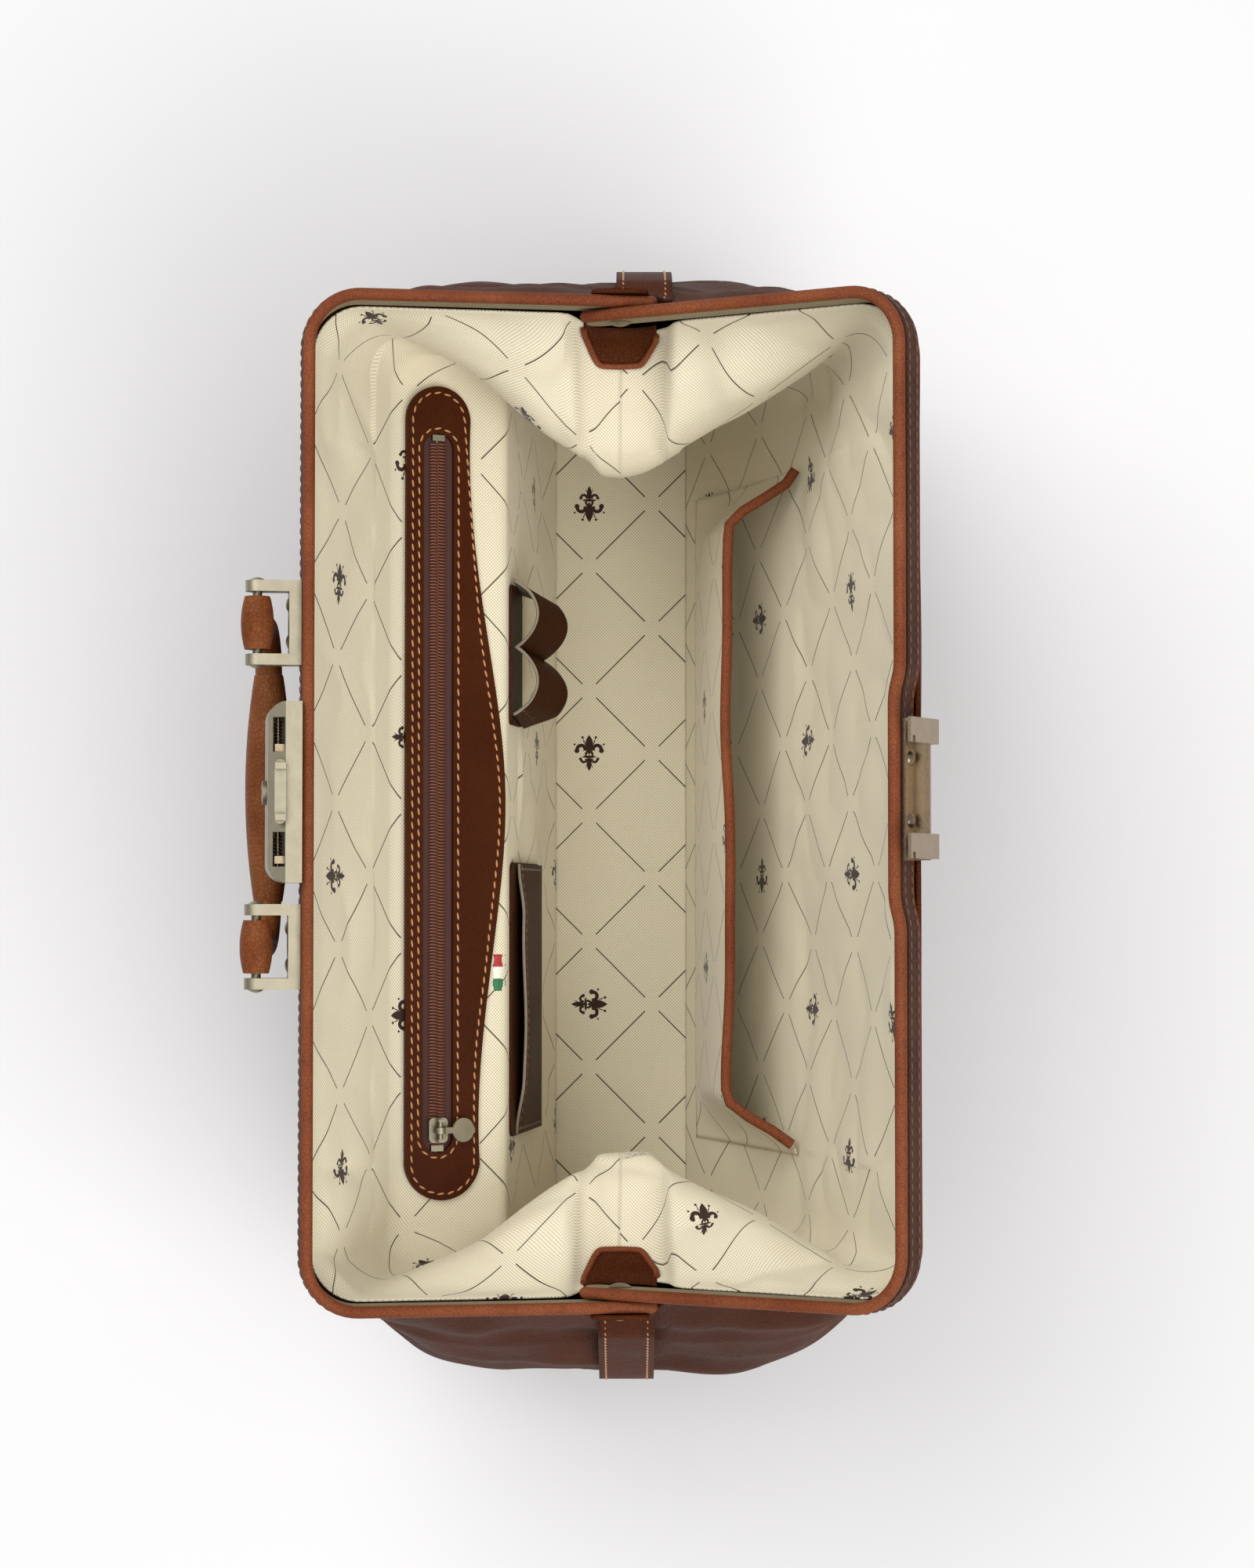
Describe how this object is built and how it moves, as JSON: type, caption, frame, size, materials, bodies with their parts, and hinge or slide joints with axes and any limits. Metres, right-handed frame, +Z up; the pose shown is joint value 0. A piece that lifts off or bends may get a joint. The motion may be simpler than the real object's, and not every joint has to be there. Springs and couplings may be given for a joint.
{
  "type": "doctor bag",
  "caption": "Open leather doctor bag: hinged mouth frames, lock with hook plate, swinging handle, patterned lining with zip pocket, card pocket, pen loops and a large slip pocket.",
  "frame": {"origin": "underside of the middle foot, on the surface the bag stands on", "axes": "+X along the bag's length, +Z up, -Y towards the front, the half with the lock and the handle"},
  "size_m": [0.4546, 0.2628, 0.2875],
  "materials": {
    "body leather": "satin",
    "edge leather": "satin",
    "handle leather": "satin",
    "panel leather": "satin",
    "pocket leather": "satin",
    "facing leather": "matte",
    "board": "matte",
    "frame steel": "satin",
    "plated steel": "satin",
    "brass": "satin",
    "lining fabric": "matte",
    "zip tape": "matte",
    "zip coil": "satin",
    "ribbon": "satin"
  },
  "bodies": {
    "bag_body": {"back_pocket": "lining fabric", "back_pocket_binding": "edge leather", "base_board": "board", "base_panel": "body leather", "body_back_panel": "body leather", "body_front_panel": "body leather", "body_gusset_left": "body leather", "body_gusset_right": "body leather", "card_pocket_back": "pocket leather", "card_pocket_front": "pocket leather", "feet": "brass", "hinge_rivet_left": "brass", "hinge_rivet_right": "brass", "hinge_strap_left": "edge leather", "hinge_strap_right": "edge leather", "hinge_trim_left": "edge leather", "hinge_trim_right": "edge leather", "lining_back": "lining fabric", "lining_end_left": "lining fabric", "lining_end_right": "lining fabric", "lining_floor": "lining fabric", "lining_front": "lining fabric", "pen_loop_strip": "pocket leather", "pen_loops": "pocket leather", "ribbon_tab": "ribbon", "zip_coil_back": "zip coil", "zip_coil_front": "zip coil", "zip_panel": "panel leather", "zip_pocket_bag": "lining fabric", "zip_stops": "brass", "zip_tape": "zip tape"},
    "front_frame": {"front_frame_bow": "frame steel", "front_frame_cover": "body leather", "front_frame_facing": "facing leather", "front_frame_piping": "edge leather", "front_frame_welt": "edge leather", "lock_case": "brass", "lock_back_plate": "plated steel", "lock_screws": "brass", "lock_springs": "plated steel", "lock_spring_bar": "plated steel", "handle_bracket_left": "brass", "handle_bracket_right": "brass", "handle_pin_left": "brass", "handle_pin_right": "brass", "bracket_screws": "brass"},
    "back_frame": {"back_frame_bow": "frame steel", "back_frame_cover": "body leather", "back_frame_facing": "facing leather", "back_frame_piping": "edge leather", "back_frame_welt": "edge leather", "hook_plate": "plated steel", "hook_rivets": "plated steel"},
    "handle": {"handle_core": "frame steel", "handle_cover": "handle leather"},
    "latch": {"lock_bolt": "plated steel", "lock_thumb_piece": "brass"},
    "key_barrel": {"key_cylinder": "brass"},
    "slider": {"zip_slider": "brass"},
    "puller": {"zip_puller": "brass"}
  },
  "joints": [
    {"name": "front_frame_hinge", "type": "hinge", "parent": "bag_body", "child": "front_frame", "pos_m": [0, 0, 0.208], "axis": [-1, 0, 0], "range_deg": [0, 75.55]},
    {"name": "back_frame_hinge", "type": "hinge", "parent": "bag_body", "child": "back_frame", "pos_m": [0, 0, 0.208], "axis": [1, 0, 0], "range_deg": [0, 56.55]},
    {"name": "handle_hinge", "type": "hinge", "parent": "front_frame", "child": "handle", "pos_m": [0, -0.13679, 0.22967], "axis": [-1, 0, 0], "range_deg": [0, 180]},
    {"name": "latch_slide", "type": "slide", "parent": "front_frame", "child": "latch", "axis": [1, 0, 0], "range_m": [0, 0.003], "stiffness_N_per_m": 120, "springref_m": -0.002},
    {"name": "key_turn", "type": "hinge", "parent": "front_frame", "child": "key_barrel", "pos_m": [-0.003, -0.13367, 0.22512], "axis": [0, -0.9877, 0.1564], "range_deg": [0, 90]},
    {"name": "zip_slide", "type": "slide", "parent": "bag_body", "child": "slider", "axis": [-1, 0, 0], "range_m": [0, 0.268]},
    {"name": "puller_hinge", "type": "hinge", "parent": "slider", "child": "puller", "pos_m": [0.129, -0.07148, 0.15253], "axis": [1, 0, 0], "range_deg": [0, 160]}
  ]
}
